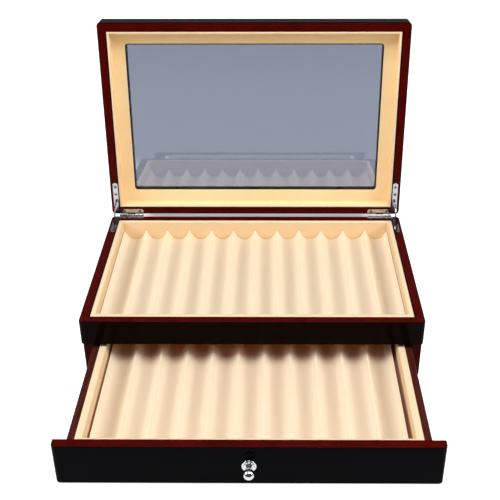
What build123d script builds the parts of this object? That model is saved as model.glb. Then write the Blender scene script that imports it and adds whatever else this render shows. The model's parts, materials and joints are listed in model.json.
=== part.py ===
from build123d import *

import os
from math import cos, radians, sin

# A pen collector chest: a glass-lidded top tray over one drawer, both with grooved pen beds.
# Millimetres, X to the right, Y to the back, Z up. The origin is the middle of the felt underside.
# The lid is drawn shut and the drawer drawn home, then both are moved to where they stand open.

# ---------------------------------------------------------------- driving sizes
# Case
case_width = 340.0
case_depth = 222.0
board = 10.0  # boards of the case, and the lid's front and side rails
plan_corner = 4.0  # rounding of the upright corners
edge_round = 0.8  # softened outer edges of the lacquered boards
inner_edge_round = 0.6  # softened inner edges that meet the suede
panel_tongue = 3.0  # how far a panel is let into the boards round it
base_panel_thickness = 4.0
tray_floor_thickness = 3.0
felt_thickness = 1.0
felt_inset = 2.0

# Pen beds, alike in the tray and the drawer
groove_depth = 11.5
groove_corner = 4.0  # rounding between a groove's floor and its flanks
flank_run = 3.2  # how far a flank leans over its height
ridge_top = 1.8
ridge_round = 0.8
bed_end_gap = 0.5

# Top tray
tray_groove_count = 12
tray_liner = 5.0
liner_round = 2.0
tray_bed_gap = 0.4
tray_ridge_below_rim = 10.5
tray_bed_skin = 1.5  # bed left under a groove

# Drawer
drawer_groove_count = 11
drawer_board = 7.0
drawer_side_gap = 1.2
drawer_floor_gap = 0.5
drawer_front_gap = 0.6  # between the shut drawer front and the ends of the side boards
drawer_rear_gap = 3.0
drawer_bottom_thickness = 3.0
runner_height = 3.5  # drawer sides standing below the drawer's bottom panel
drawer_bed_base = 6.2  # bed left under a groove
drawer_ridge_below_rim = 12.0
drawer_side_liner = 7.0
drawer_end_liner = 5.0
drawer_liner_proud = 1.0  # liner standing over the drawer sides
drawer_bed_left_gap = 2.0
drawer_bed_right_gap = 3.8
front_above_sides = 3.5
front_under_gap = 0.5  # drawer front over the underside of the case
front_rail_gap = 1.0  # drawer front under the rail
drawer_out = 147.6  # how far the drawer stands open
kicker_width = 7.0
kicker_play = 0.5
stop_pin_radius = 2.5
stop_pin_height = 2.7
stop_pin_from_front = 17.0
stop_pin_spacing = 200.0
stop_play = 0.4

# Knob
rosette_radius = 6.5
rosette_step_radius = 4.9
rosette_plate = 1.1
rosette_thickness = 2.2
knob_neck_radius = 2.4
knob_radius = 5.0
knob_centre_out = 10.6  # ball centre in front of the drawer front
knob_screw_radius = 1.9
knob_screw_bite = 6.0
knob_screw_head_radius = 3.9
knob_screw_head = 2.2
knob_foot_radius = 3.6
knob_foot = 1.2
rosette_round = 0.35

# Lid
lid_back_rail_thickness = 8.5
lid_recess = 13.5
lid_liner = 2.5
lid_liner_round = 1.0
lid_panel_skin = 0.8
lid_edge_round = 2.0
lid_gap = 0.5  # shut lid over the case
open_angle = 94.8
window_side_border = 27.0
window_end_border = 25.3
window_corner = 3.5
bead_reveal = 1.0  # bead set back from the suede
bead_width = 1.4
bead_thickness = 2.0
glass_thickness = 2.0
glass_play = 0.2
lip_thickness = 3.7

# Hinges
leaf_thickness = 1.2
leaf_width = 5.8
leaf_edge = 3.0  # bare wood outside a leaf
side_arm = 38.5
rear_arm = 34.3
leaf_end_round = 2.4
leaf_heel_round = 3.0
barrel_radius = 1.7
barrel_gap = 0.3  # between a barrel and the boards, and between knuckles
pin_radius = 0.8
pin_play = 0.05
stay_radius = 18.0
stay_band = 2.4
stay_thickness = 1.2
stay_head = 5.2
stay_head_angle = 3.5
stay_reach = 10.5  # how far a stay passes the plane of each leaf, in degrees
stay_slot_play = 0.4
stay_pocket_play = 0.6
screw_head_radius = 1.7
screw_head_depth = 0.9
screw_shank_radius = 0.9
screw_length = 7.0
screw_tip = 1.6
screw_cross_length = 2.2
screw_cross_width = 0.45
screw_cross_depth = 0.45
side_screws_from_rear = (24.5, 33.5)
rear_screws_from_side = (14.7, 33.0)
rear_screw_inset = 3.3

# ---------------------------------------------------------------- worked-out places
half_width = case_width / 2
half_depth = case_depth / 2
inner_x = half_width - board
front_y = -half_depth + board
back_y = half_depth - board

case_bottom = felt_thickness
base_top = case_bottom + base_panel_thickness

drawer_x = inner_x - drawer_side_gap
drawer_inner_x = drawer_x - drawer_board
drawer_foot = base_top + drawer_floor_gap
drawer_bottom_low = drawer_foot + runner_height
drawer_bottom_top = drawer_bottom_low + drawer_bottom_thickness
drawer_groove_floor = drawer_bottom_top + drawer_bed_base
drawer_rim = drawer_groove_floor + groove_depth + drawer_ridge_below_rim
drawer_side_top = drawer_rim - drawer_liner_proud
drawer_front_low = case_bottom + front_under_gap
drawer_front_top = drawer_side_top + front_above_sides
drawer_front_inner_y = front_y - drawer_front_gap
drawer_end_y = back_y - drawer_rear_gap
drawer_back_y = drawer_end_y - drawer_board

rail_bottom = drawer_front_top + front_rail_gap
tray_floor_top = rail_bottom + tray_floor_thickness
tray_groove_floor = tray_floor_top + tray_bed_skin
case_top = tray_groove_floor + groove_depth + tray_ridge_below_rim

lid_low = case_top + lid_gap
lid_inner_back_y = half_depth - lid_back_rail_thickness
lid_panel_low = lid_low + lid_recess
lid_frame_low = lid_panel_low + lid_panel_skin
bead_low = lid_frame_low + bead_reveal
glass_low = bead_low + bead_thickness
glass_seat = glass_low + glass_thickness
lid_top = glass_seat + lip_thickness
window_x = half_width - window_side_border
window_y = half_depth - window_end_border

hinge_y = half_depth + barrel_radius + barrel_gap
hinge_z = case_top + lid_gap / 2
leaf_x = half_width - leaf_edge
stay_x = leaf_x - leaf_width / 2
knuckle_far_x = leaf_x - leaf_width
knuckle_near_x = leaf_x - rear_arm + barrel_gap
knuckle_pitch = (knuckle_far_x - knuckle_near_x + barrel_gap) / 3

stop_pin_y = -half_depth + stop_pin_from_front
drawer_travel = drawer_back_y - stop_pin_y - stop_pin_radius - stop_play


# ---------------------------------------------------------------- helpers
UNDER = (Align.CENTER, Align.CENTER, Align.MAX)
OVER = (Align.CENTER, Align.CENTER, Align.MIN)


def block(x, y, z):
    """A rectangular solid from its (low, high) pair on each axis."""
    sizes = [high - low for low, high in (x, y, z)]
    middles = [(high + low) / 2 for low, high in (x, y, z)]
    return Pos(*middles) * Box(*sizes)


def mirrored(shape):
    """The left-hand twin of a right-hand piece."""
    return mirror(shape, about=Plane.YZ)


def group(shapes):
    """Several separate solids as one piece."""
    return Compound(children=list(shapes))


def rounded_body(z, top_round, bottom_round):
    """The chest's outline in plan, with rounded upright corners and softened rims."""
    body = block((-half_width, half_width), (-half_depth, half_depth), z)
    body = fillet(body.edges().filter_by(Axis.Z), plan_corner)
    body = fillet(body.faces().sort_by(Axis.Z)[-1].edges(), top_round)
    return fillet(body.faces().sort_by(Axis.Z)[0].edges(), bottom_round)


def softened_frame(body, y, rim_up):
    """The boards round a tray or lid: the body less its inside, with the inner rim softened."""
    frame = body - block((-inner_x, inner_x), y, (case_bottom - board, lid_top + board))
    rim = frame.faces().sort_by(Axis.Z)[-1 if rim_up else 0].inner_wires()[0]
    return fillet(rim.edges(), inner_edge_round)


def rounded_plate(half_x, half_y, corner, z):
    """A flat plate centred on the chest, with rounded corners in plan."""
    plate = block((-half_x, half_x), (-half_y, half_y), z)
    return fillet(plate.edges().filter_by(Axis.Z), corner)


def liner_boards(x, y, z, side, end, rounding, rim_up=True):
    """Four mitred liner boards round a rectangle, with both edges of the rim rounded."""
    outer = [(x[0], y[0]), (x[1], y[0]), (x[1], y[1]), (x[0], y[1])]
    inner = [
        (x[0] + side, y[0] + end),
        (x[1] - side, y[0] + end),
        (x[1] - side, y[1] - end),
        (x[0] + side, y[1] - end),
    ]
    boards = {}
    for corner, name in enumerate(("front", "right", "back", "left")):
        following = (corner + 1) % 4
        outline = Polyline(
            outer[corner], outer[following], inner[following], inner[corner], close=True
        )
        solid = Pos(0, 0, z[0]) * extrude(make_face(outline), z[1] - z[0])
        rim = solid.faces().sort_by(Axis.Z)[-1 if rim_up else 0]
        boards[name] = fillet(rim.edges().sort_by(SortBy.LENGTH)[-2:], rounding)
    return boards


def pen_bed(x, y, bottom, floor, grooves):
    """A suede-covered bed whose grooves run from front to back between rounded ridges."""
    crest = floor + groove_depth
    pitch = (x[1] - x[0]) / grooves
    points = [(x[0], bottom), (x[0], crest)]
    for groove in range(grooves):
        left = x[0] + groove * pitch + ridge_top / 2
        right = left + pitch - ridge_top
        points += [(left, crest), (left + flank_run, floor)]
        points += [(right - flank_run, floor), (right, crest)]
    points += [(x[1], crest), (x[1], bottom)]
    profile = make_face(Polyline(*points, close=True))
    within = [v for v in profile.vertices() if x[0] < v.X < x[1]]
    profile = fillet([v for v in within if v.Y < crest], groove_corner)
    inside = (x[0] + ridge_top, x[1] - ridge_top)
    crests = [v for v in profile.vertices() if v.Y == crest and inside[0] < v.X < inside[1]]
    profile = fillet(crests, ridge_round)
    return Pos(0, y[1], 0) * extrude(Plane.XZ * profile, y[1] - y[0])


def wood_screw():
    """A countersunk screw with a cross recess, head up, its top at the origin."""
    head = Cone(screw_shank_radius, screw_head_radius, screw_head_depth, align=UNDER)
    shank_end = screw_length - screw_tip
    shank = Cylinder(screw_shank_radius, shank_end, align=UNDER)
    tip = Pos(0, 0, -shank_end) * Cone(0, screw_shank_radius, screw_tip, align=UNDER)
    return head + shank + tip


def cross_recess():
    """The two crossed slots of a screw head, cut from the origin down."""
    slot = Box(screw_cross_length, screw_cross_width, screw_cross_depth, align=UNDER)
    return slot + Rot(0, 0, 90) * slot


def arc_band(low_radius, high_radius, start, end, thickness):
    """A flat band between two radii about the hinge axis, centred on x = 0."""
    inner = CenterArc((0, 0), low_radius, start, end - start)
    outer = CenterArc((0, 0), high_radius, start, end - start)
    ends = Line(inner @ 0, outer @ 0) + Line(inner @ 1, outer @ 1)
    return extrude(Plane.YZ * make_face(inner + outer + ends), thickness / 2, both=True)


# ---------------------------------------------------------------- hinges
def leaf_plan():
    """The L-shaped outline of a right-hand leaf: one arm along the side, one along the back."""
    arm_end = half_depth - side_arm
    arm_inner = leaf_x - leaf_width
    rear_inner = half_depth - leaf_width
    rear_end = leaf_x - rear_arm
    plan = make_face(
        Polyline(
            (leaf_x, half_depth),
            (leaf_x, arm_end),
            (arm_inner, arm_end),
            (arm_inner, rear_inner),
            (rear_end, rear_inner),
            (rear_end, half_depth),
            close=True,
        )
    )
    rounds = (
        ((leaf_x, half_depth), leaf_heel_round),
        ((leaf_x, arm_end), leaf_end_round),
        ((arm_inner, arm_end), leaf_end_round),
        ((rear_end, rear_inner), leaf_end_round),
    )
    for (x, y), radius in rounds:
        plan = fillet(plan.vertices().sort_by_distance((x, y, 0))[0], radius)
    return plan


def screw_places():
    """Where the screws of a right-hand leaf stand, in plan."""
    side = [(stay_x, half_depth - inset) for inset in side_screws_from_rear]
    rear = [(half_width - inset, half_depth - rear_screw_inset) for inset in rear_screws_from_side]
    return side + rear


def knuckle_spans(owner):
    """The X ranges of a leaf's knuckles: the case has the outer two, the lid the middle one."""
    spans = []
    for place in (0, 2) if owner == "case" else (1,):
        start = knuckle_near_x + place * knuckle_pitch
        spans.append((start, start + knuckle_pitch - barrel_gap))
    return spans


def along_x(radius, span):
    """A round bar on the hinge axis between two X places."""
    bar = Rot(0, 90, 0) * Cylinder(radius, span[1] - span[0])
    return Pos((span[0] + span[1]) / 2, hinge_y, hinge_z) * bar


def right_leaf(plate, z, owner, screws):
    """A leaf: its plate, knuckles joined to it by webs, the pin bore, the stay slot, the screws."""
    bore_radius = pin_radius if owner == "case" else pin_radius + pin_play
    leaf = plate
    for span in knuckle_spans(owner):
        leaf += block(span, (half_depth - leaf_width / 2, hinge_y), z) + along_x(barrel_radius, span)
    leaf -= along_x(bore_radius, (knuckle_near_x, knuckle_far_x))
    slot = stay_thickness / 2 + stay_slot_play
    reach = stay_band / 2 + stay_slot_play
    far, near = stay_radius + reach, stay_radius - reach
    leaf -= block((stay_x - slot, stay_x + slot), (hinge_y - far, hinge_y - near), z)
    return leaf - screws


def stay_pocket(z):
    """The mortise that takes the end of the right stay when the lid is shut."""
    half_span = radians(open_angle / 2 + stay_reach)
    near = (stay_radius - stay_head / 2) * cos(half_span) - stay_pocket_play
    far = stay_radius + stay_head / 2 + stay_pocket_play
    side = stay_thickness / 2 + stay_pocket_play
    return block((stay_x - side, stay_x + side), (hinge_y - far, hinge_y - near), z)


def right_stay():
    """The arc that passes through both leaves, with a head under each that stops the lid."""
    start = 180 - open_angle - stay_reach
    end = 180 + stay_reach
    stay = arc_band(
        stay_radius - stay_band / 2, stay_radius + stay_band / 2, start, end, stay_thickness
    )
    low, high = stay_radius - stay_head / 2, stay_radius + stay_head / 2
    for head_start in (start, end - stay_head_angle):
        head_end = head_start + stay_head_angle
        stay += arc_band(low, high, head_start, head_end, stay_thickness)
    return Pos(stay_x, hinge_y, hinge_z) * stay


stay_depth = (stay_radius + stay_head / 2) * sin(radians(open_angle / 2 + stay_reach))
pocket_depth = stay_depth + stay_pocket_play

case_leaf_z = (case_top - leaf_thickness, case_top)
lid_leaf_z = (lid_low, lid_low + leaf_thickness)
case_plate = extrude(Pos(0, 0, case_leaf_z[0]) * leaf_plan(), leaf_thickness)
lid_plate = extrude(Pos(0, 0, lid_leaf_z[0]) * leaf_plan(), leaf_thickness)
case_screw_blanks = [Pos(x, y, case_top) * wood_screw() for x, y in screw_places()]
lid_screw_blanks = [Pos(x, y, lid_low) * Rot(180, 0, 0) * wood_screw() for x, y in screw_places()]
case_leaf = right_leaf(case_plate, case_leaf_z, "case", case_screw_blanks)
lid_leaf = right_leaf(lid_plate, lid_leaf_z, "lid", lid_screw_blanks)
case_screws = [
    blank - Pos(x, y, case_top) * cross_recess()
    for blank, (x, y) in zip(case_screw_blanks, screw_places())
]
lid_screws = [
    blank - Pos(x, y, lid_low) * Rot(180, 0, 0) * cross_recess()
    for blank, (x, y) in zip(lid_screw_blanks, screw_places())
]
case_pocket = stay_pocket((hinge_z - pocket_depth, case_leaf_z[0]))
lid_pocket = stay_pocket((lid_leaf_z[1], hinge_z + pocket_depth))
case_fittings = [case_plate, case_pocket] + case_screw_blanks
lid_fittings = [lid_plate, lid_pocket] + lid_screw_blanks
case_fittings += [mirrored(shape) for shape in case_fittings]
lid_fittings += [mirrored(shape) for shape in lid_fittings]

# ---------------------------------------------------------------- case
case_height = (case_bottom, case_top)
case_body = rounded_body(case_height, edge_round, edge_round)
case_body = softened_frame(case_body, (front_y, back_y), True)
panel_x = (-inner_x - panel_tongue, inner_x + panel_tongue)

tray_floor = block(
    panel_x, (front_y - panel_tongue, back_y + panel_tongue), (rail_bottom, tray_floor_top)
)
base_panel_blank = block(panel_x, (front_y, back_y + panel_tongue), (case_bottom, base_top))

right_board = block((inner_x, half_width), (front_y, half_depth), case_height) & case_body
right_board = right_board - tray_floor - base_panel_blank - case_fittings
back_board = block((-inner_x, inner_x), (back_y, half_depth), case_height) & case_body
back_board = back_board - tray_floor - base_panel_blank - case_fittings
front_rail = block((-half_width, half_width), (-half_depth, front_y), (rail_bottom, case_top))
front_rail = (front_rail & case_body) - tray_floor

stop_pins = [
    Pos(x, stop_pin_y, case_bottom)
    * Cylinder(stop_pin_radius, base_panel_thickness + stop_pin_height, align=OVER)
    for x in (-stop_pin_spacing / 2, stop_pin_spacing / 2)
]
base_panel = base_panel_blank - stop_pins
kicker = block(
    (inner_x - kicker_width, inner_x),
    (front_y, back_y),
    (drawer_side_top + kicker_play, rail_bottom),
)
felt = block(
    (-half_width + felt_inset, half_width - felt_inset),
    (front_y + felt_inset, half_depth - felt_inset),
    (0, felt_thickness),
)
felt = fillet(felt.edges().filter_by(Axis.Z), plan_corner - felt_inset)

tray_boards = liner_boards(
    (-inner_x, inner_x),
    (front_y, back_y),
    (tray_floor_top, case_top),
    tray_liner,
    tray_liner,
    liner_round,
)
tray_bed_x = inner_x - tray_liner - tray_bed_gap
tray_bed = pen_bed(
    (-tray_bed_x, tray_bed_x),
    (front_y + tray_liner + bed_end_gap, back_y - tray_liner - bed_end_gap),
    tray_floor_top,
    tray_groove_floor,
    tray_groove_count,
)
hinge_pin = along_x(pin_radius, (knuckle_near_x, knuckle_far_x))

# ---------------------------------------------------------------- lid, drawn shut
lid_height = (lid_low, lid_top)
lid_span = (front_y, lid_inner_back_y)
lid_body = rounded_body(lid_height, lid_edge_round, edge_round)
lid_body = softened_frame(lid_body, lid_span, False)

lid_side = block((inner_x, half_width), (-half_depth, half_depth), lid_height) & lid_body
lid_side = lid_side - lid_fittings
lid_front = block((-inner_x, inner_x), (-half_depth, front_y), lid_height) & lid_body
lid_back = block((-inner_x, inner_x), (lid_inner_back_y, half_depth), lid_height) & lid_body
lid_back = lid_back - lid_fittings

sight_x, sight_y = window_x - bead_width, window_y - bead_width
sight_corner = window_corner - bead_width
lid_frame = block((-inner_x, inner_x), lid_span, (lid_frame_low, lid_top))
lid_frame -= rounded_plate(window_x, window_y, window_corner, (lid_frame_low, glass_seat))
lid_frame -= rounded_plate(sight_x, sight_y, sight_corner, (glass_seat, lid_top))
lid_panel = block((-inner_x, inner_x), lid_span, (lid_panel_low, lid_frame_low))
lid_panel -= rounded_plate(window_x, window_y, window_corner, (lid_panel_low, lid_frame_low))
bead = rounded_plate(window_x, window_y, window_corner, (bead_low, glass_low))
bead -= rounded_plate(sight_x, sight_y, sight_corner, (bead_low, glass_low))
glass = rounded_plate(
    window_x - glass_play, window_y - glass_play, window_corner - glass_play, (glass_low, glass_seat)
)
lid_boards = liner_boards(
    (-inner_x, inner_x),
    lid_span,
    (lid_low, lid_panel_low),
    lid_liner,
    lid_liner,
    lid_liner_round,
    rim_up=False,
)

# ---------------------------------------------------------------- drawer, drawn home
drawer_bottom = block(
    (-drawer_inner_x - panel_tongue, drawer_inner_x + panel_tongue),
    (drawer_front_inner_y - panel_tongue, drawer_back_y + panel_tongue),
    (drawer_bottom_low, drawer_bottom_top),
)
front_z = (drawer_front_low, drawer_front_top)
drawer_front = block((-half_width, half_width), (-half_depth, drawer_front_inner_y), front_z)
drawer_front = fillet(drawer_front.edges().filter_by(Axis.Z).group_by(Axis.Y)[0], plan_corner)
for end in (0, -1):
    rim = drawer_front.faces().sort_by(Axis.Z)[end].edges()
    drawer_front = fillet([e for e in rim if e.center().Y < drawer_front_inner_y], edge_round)

front_thickness = drawer_front_inner_y + half_depth
knob_place = Pos(0, -half_depth, (drawer_front_low + drawer_front_top) / 2) * Rot(90, 0, 0)
screw_head = Pos(0, 0, -front_thickness) * Cylinder(
    knob_screw_head_radius, knob_screw_head, align=OVER
)
shank_start = knob_screw_head - front_thickness
shank_length = rosette_thickness + knob_screw_bite - shank_start
screw_shank = Pos(0, 0, shank_start) * Cylinder(knob_screw_radius, shank_length, align=OVER)
knob_screw_blank = screw_head + screw_shank
driver_slot = Pos(0, 0, -front_thickness) * Box(
    knob_screw_head_radius * 2, knob_screw_head / 2, knob_screw_head / 2, align=OVER
)
knob_screw = knob_screw_blank - driver_slot
rosette = Cylinder(rosette_radius, rosette_plate, align=OVER)
rosette += Cylinder(rosette_step_radius, rosette_thickness, align=OVER)
rosette = fillet(rosette.edges().filter_by(GeomType.CIRCLE).sort_by(Axis.Z)[1:], rosette_round)
rosette -= knob_screw_blank
knob = Pos(0, 0, rosette_thickness) * Cone(
    knob_foot_radius, knob_neck_radius, knob_foot, align=OVER
)
knob += Pos(0, 0, rosette_thickness) * Cylinder(
    knob_neck_radius, knob_centre_out - rosette_thickness, align=OVER
)
knob += Pos(0, 0, knob_centre_out) * Sphere(knob_radius)
knob -= knob_screw_blank
drawer_front = drawer_front - drawer_bottom - knob_place * knob_screw_blank

drawer_height = (drawer_foot, drawer_side_top)
drawer_side = block((drawer_inner_x, drawer_x), (drawer_front_inner_y, drawer_end_y), drawer_height)
top_edges = drawer_side.faces().sort_by(Axis.Z)[-1].edges().filter_by(Axis.Y)
drawer_side = fillet(top_edges, edge_round) - drawer_bottom
drawer_back = block((-drawer_inner_x, drawer_inner_x), (drawer_back_y, drawer_end_y), drawer_height)
drawer_back = drawer_back - drawer_bottom
drawer_boards = liner_boards(
    (-drawer_inner_x, drawer_inner_x),
    (drawer_front_inner_y, drawer_back_y),
    (drawer_bottom_top, drawer_rim),
    drawer_side_liner,
    drawer_end_liner,
    liner_round,
)
liner_inner_x = drawer_inner_x - drawer_side_liner
drawer_bed = pen_bed(
    (-liner_inner_x + drawer_bed_left_gap, liner_inner_x - drawer_bed_right_gap),
    (
        drawer_front_inner_y + drawer_end_liner + bed_end_gap,
        drawer_back_y - drawer_end_liner - bed_end_gap,
    ),
    drawer_bottom_top,
    drawer_groove_floor,
    drawer_groove_count,
)

# ---------------------------------------------------------------- every piece, by body
case_pieces = {
    "case_left_side": mirrored(right_board),
    "case_right_side": right_board,
    "case_back": back_board,
    "upper_front_rail": front_rail,
    "base_panel": base_panel,
    "base_felt": felt,
    "tray_floor": tray_floor,
    "drawer_kickers": group([kicker, mirrored(kicker)]),
    "drawer_stop_pins": group(stop_pins),
    "tray_pen_bed": tray_bed,
    "left_case_hinge_leaf": mirrored(case_leaf),
    "right_case_hinge_leaf": case_leaf,
    "left_hinge_pin": mirrored(hinge_pin),
    "right_hinge_pin": hinge_pin,
    "case_hinge_screws": group(case_screws + [mirrored(screw) for screw in case_screws]),
}
lid_pieces = {
    "lid_left_rail": mirrored(lid_side),
    "lid_right_rail": lid_side,
    "lid_front_rail": lid_front,
    "lid_back_rail": lid_back,
    "lid_top_frame": lid_frame,
    "lid_liner_panel": lid_panel,
    "glass_pane": glass,
    "glazing_bead": bead,
    "left_lid_hinge_leaf": mirrored(lid_leaf),
    "right_lid_hinge_leaf": lid_leaf,
    "lid_hinge_screws": group(lid_screws + [mirrored(screw) for screw in lid_screws]),
}
drawer_pieces = {
    "drawer_front": drawer_front,
    "drawer_left_side": mirrored(drawer_side),
    "drawer_right_side": drawer_side,
    "drawer_back": drawer_back,
    "drawer_bottom": drawer_bottom,
    "drawer_pen_bed": drawer_bed,
    "knob_rosette": knob_place * rosette,
    "knob": knob_place * knob,
    "knob_screw": knob_place * knob_screw,
}
for where in ("front", "right", "back", "left"):
    case_pieces[f"tray_liner_{where}"] = tray_boards[where]
    lid_pieces[f"lid_liner_{where}"] = lid_boards[where]
    drawer_pieces[f"drawer_liner_{where}"] = drawer_boards[where]

swing_open = Pos(0, hinge_y, hinge_z) * Rot(-open_angle, 0, 0) * Pos(0, -hinge_y, -hinge_z)
pull_out = Pos(0, -drawer_out, 0)
stay = right_stay()

pieces = dict(case_pieces)
pieces["left_stay"] = mirrored(stay)
pieces["right_stay"] = stay
for name, shape in lid_pieces.items():
    pieces[name] = swing_open * shape
for name, shape in drawer_pieces.items():
    pieces[name] = pull_out * shape

os.makedirs("parts", exist_ok=True)
for name, shape in pieces.items():
    export_step(shape, f"parts/{name}.step")

print(f"chest shut: {case_width:.1f} x {case_depth:.1f} x {lid_top:.1f} high")
print(f"drawer travel {drawer_travel:.1f}, of which {drawer_travel - drawer_out:.1f} is left")
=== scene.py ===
# %% [markdown]
# # A chest for pens
# This lesson dresses a wooden display chest. The chest arrives as a fixed frame of hard pieces at their
# real size: boards, hinges, glass and a knob. Blender adds what the eye judges by: padded suede with
# pressed grooves, lacquered wood, smoky glass and polished metal. All lengths are in metres.

import json
import math

import bmesh
import bpy
from mathutils import Euler, Matrix, Vector


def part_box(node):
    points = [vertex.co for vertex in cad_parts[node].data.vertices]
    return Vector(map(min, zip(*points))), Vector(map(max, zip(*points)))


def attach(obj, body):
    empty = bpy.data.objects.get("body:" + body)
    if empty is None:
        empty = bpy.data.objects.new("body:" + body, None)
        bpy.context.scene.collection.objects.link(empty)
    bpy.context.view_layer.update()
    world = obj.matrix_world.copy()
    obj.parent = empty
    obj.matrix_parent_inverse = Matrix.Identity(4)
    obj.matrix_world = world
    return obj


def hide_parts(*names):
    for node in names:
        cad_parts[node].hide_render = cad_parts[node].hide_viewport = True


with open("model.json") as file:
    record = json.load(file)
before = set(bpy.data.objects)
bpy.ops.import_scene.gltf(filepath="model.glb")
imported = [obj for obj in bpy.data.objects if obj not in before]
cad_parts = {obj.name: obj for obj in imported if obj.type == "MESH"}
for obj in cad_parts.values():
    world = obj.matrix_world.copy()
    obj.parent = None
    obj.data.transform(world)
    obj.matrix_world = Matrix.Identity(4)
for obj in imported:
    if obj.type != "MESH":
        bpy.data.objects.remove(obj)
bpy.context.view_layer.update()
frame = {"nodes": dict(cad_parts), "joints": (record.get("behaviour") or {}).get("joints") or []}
nodes = frame["nodes"]
mm = 0.001
print("pieces in the frame:", len(nodes))

# %% [markdown]
# ## The lid is open
# The frame shows the lid swung open. Its boards are easiest to shape and to colour as they lie when the
# lid is shut, square to the axes. The hinge joint says how far the lid turns and about which line, so one
# matrix turns a shut lid into the open one, and its inverse finds the shut size of any lid piece.

# %% Turn between the shut lid and the open one
joints = {joint["name"]: joint for joint in frame["joints"]}
hinge_place = Vector(joints["lid_hinge"]["pos_m"])
lid_turn = math.radians(joints["lid_hinge"]["range_deg"][1])
to_hinge = Matrix.Translation(hinge_place)
swing_open = to_hinge @ Matrix.Rotation(-lid_turn, 4, "X") @ to_hinge.inverted()
swing_shut = swing_open.inverted()
drawer_out = -joints["drawer_slide"]["range_m"][0]


def shut_box(node):
    """Lowest and highest corners of a lid piece, as it lies when the lid is shut."""
    places = [swing_shut @ vertex.co for vertex in nodes[node].data.vertices]
    low = Vector(min(place[axis] for place in places) for axis in range(3))
    high = Vector(max(place[axis] for place in places) for axis in range(3))
    return low, high


print("lid opens by", round(math.degrees(lid_turn), 1), "degrees; drawer is out by", drawer_out)

# %% [markdown]
# ## The camera
# The picture looks down into the open chest from in front. A view is a place, three angles and a focal
# length. The lens is shifted a little, because the chest doesn't sit in the middle of the picture.

# %% Set up the camera
camera_place = Vector((18.9, -827.5, 563.5)) * mm
camera_pitch = math.radians(32.076)  # looking down
camera_yaw = math.radians(-0.511)  # towards the left
camera_roll = math.radians(-0.177)  # clockwise
picture_width = 500  # pixels, and as many high
focal_pixels = 890.04
view_centre = (264.44, 285.23)  # the pixel straight ahead of the camera
sensor_width = 36  # millimetres, because Blender counts a lens in them
nearest_seen = 50 * mm

bpy.ops.object.camera_add(location=camera_place)
camera = bpy.context.object
turn_down = Euler((math.pi / 2 - camera_pitch, 0, -camera_yaw)).to_matrix()
camera.rotation_euler = (turn_down @ Matrix.Rotation(camera_roll, 3, "Z")).to_euler()
camera.data.sensor_width = sensor_width
camera.data.lens = focal_pixels * sensor_width / picture_width
camera.data.shift_x = (picture_width / 2 - view_centre[0]) / picture_width
camera.data.shift_y = (view_centre[1] - picture_width / 2) / picture_width
camera.data.clip_start = nearest_seen
bpy.context.scene.camera = camera
print("lens:", round(camera.data.lens, 2), "mm")

# %% [markdown]
# ## Working by hand, in code
# A modelling tool acts on whatever is selected. These helpers put everything down, pick one piece up, and
# select vertices, edges or faces by where they are, so that each later step reads as it would be done by
# hand: add a block, select some edges, bevel them.

# %% Select and edit
same_place = 0.01 * mm  # places closer than this count as one


def put_down():
    """Leave edit mode, with nothing selected."""
    if bpy.context.mode != "OBJECT":
        bpy.ops.object.mode_set(mode="OBJECT")
    bpy.ops.object.select_all(action="DESELECT")


def pick_up(piece):
    """Select one piece alone and make it the active one."""
    put_down()
    piece.select_set(True)
    bpy.context.view_layer.objects.active = piece


def grab(piece, kind, wanted):
    """Open a piece in edit mode, with the vertices, edges or faces selected that are wanted."""
    pick_up(piece)
    bpy.ops.object.mode_set(mode="EDIT")
    bpy.ops.mesh.select_mode(type=kind)
    bpy.ops.mesh.select_all(action="DESELECT")
    mesh = bmesh.from_edit_mesh(piece.data)
    parts = {"VERT": mesh.verts, "EDGE": mesh.edges, "FACE": mesh.faces}[kind]
    for part in parts:
        if wanted(part):
            part.select_set(True)
    mesh.select_flush_mode()
    bmesh.update_edit_mesh(piece.data)


# %% [markdown]
# Edges are chosen by where their ends lie and by how far they run along an axis. The axes are numbered
# from 0, so x is 0, y is 1 and z is 2.


# %% Tell edges apart
def near(value, target):
    """Whether two places along an axis are the same."""
    return abs(value - target) < same_place


def runs_at(edge, **places):
    """Whether both ends of an edge lie at the given x, y or z."""
    ends = [vertex.co for vertex in edge.verts]
    return all(near(getattr(end, axis), place) for end in ends for axis, place in places.items())


def run_along(edge, axis):
    """How far an edge runs along an axis."""
    first, second = edge.verts
    return abs(first.co[axis] - second.co[axis])


def is_upright(edge):
    """Whether an edge stands straight up."""
    return near(run_along(edge, 0), 0) and near(run_along(edge, 1), 0)


print("places count as one within", round(same_place / mm, 3), "mm")

# %% [markdown]
# A new piece starts as a block between two corners. Modifiers are applied as soon as they are set up, so a
# finished piece is plain mesh. At the end its faces are pointed outwards, it is hung on the body that
# carries it, and the hard pieces it stands for are hidden.


# %% Add a block and apply modifiers
def block(name, low, high):
    """A new box between two corners, with its place in its mesh."""
    put_down()
    low, high = Vector(low), Vector(high)
    bpy.ops.mesh.primitive_cube_add(size=1, location=(low + high) / 2, scale=high - low)
    piece = bpy.context.object
    piece.name = piece.data.name = name
    bpy.ops.object.transform_apply()
    return piece


def modify(piece, kind, **settings):
    """Add a modifier, set it up and apply it."""
    pick_up(piece)
    bpy.ops.object.modifier_add(type=kind)
    modifier = piece.modifiers[-1]
    for setting, value in settings.items():
        setattr(modifier, setting, value)
    bpy.ops.object.modifier_apply(modifier=modifier.name)


def face_out(piece, smooth_angle=40):
    """Point all faces outwards and shade bends below an angle in degrees smooth."""
    grab(piece, "FACE", lambda face: True)
    bpy.ops.mesh.normals_make_consistent(inside=False)
    pick_up(piece)
    bpy.ops.object.shade_smooth_by_angle(angle=math.radians(smooth_angle))


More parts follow.
